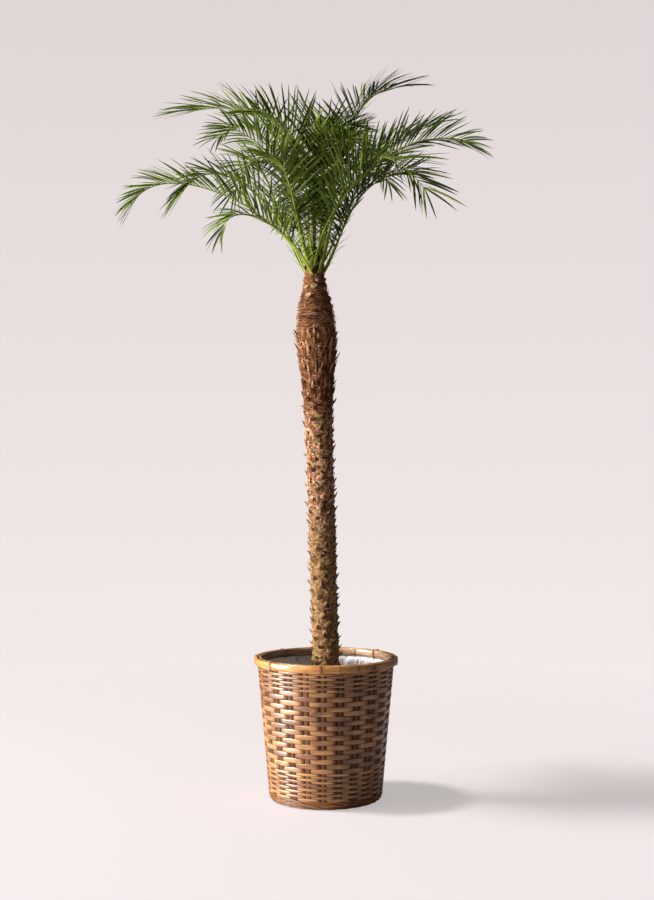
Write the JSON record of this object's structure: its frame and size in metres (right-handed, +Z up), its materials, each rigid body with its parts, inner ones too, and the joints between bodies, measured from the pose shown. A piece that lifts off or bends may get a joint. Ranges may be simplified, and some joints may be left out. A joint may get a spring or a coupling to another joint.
{
  "type": "potted palm in a basket",
  "caption": "Slender single-stem palm with arching feathery fronds, growing in soil in a lined round basket of woven bamboo with a hooped rim.",
  "frame": {"origin": "centre of the basket's flat bottom, on the floor", "axes": "+Z up along the stem, front of the plant towards -Y"},
  "size_m": [0.9807, 0.7354, 1.9184],
  "materials": {
    "bamboo": "satin",
    "hoop_bamboo": "satin",
    "rattan": "satin",
    "liner": "satin",
    "soil": "matte",
    "bark": "matte",
    "leaf": "satin",
    "spear": "satin",
    "dry_leaf": "matte"
  },
  "bodies": {
    "root": {"basket_wall": "bamboo", "dry_spathe": "dry_leaf", "frond_back": "leaf", "frond_back_left": "leaf", "frond_back_left_low": "leaf", "frond_back_low": "leaf", "frond_back_right_low": "leaf", "frond_front": "leaf", "frond_front_left_low": "leaf", "frond_front_right": "leaf", "frond_front_upright": "leaf", "frond_left_front": "leaf", "frond_left_long": "leaf", "frond_left_low": "leaf", "frond_left_upright": "leaf", "frond_right_front": "leaf", "frond_right_long": "leaf", "frond_right_low": "leaf", "frond_right_upper": "leaf", "frond_right_upright": "leaf", "frond_top": "leaf", "frond_upper_left": "leaf", "frond_upper_right": "leaf", "liner": "liner", "potting_soil": "soil", "rim_inner": "hoop_bamboo", "rim_lacing": "rattan", "rim_outer": "hoop_bamboo", "rim_tie_0": "rattan", "rim_tie_1": "rattan", "rim_tie_2": "rattan", "rim_tie_3": "rattan", "rim_tie_4": "rattan", "rim_tie_5": "rattan", "rim_tie_6": "rattan", "rim_tie_7": "rattan", "spear_leaf": "spear", "trunk": "bark"}
  },
  "joints": []
}
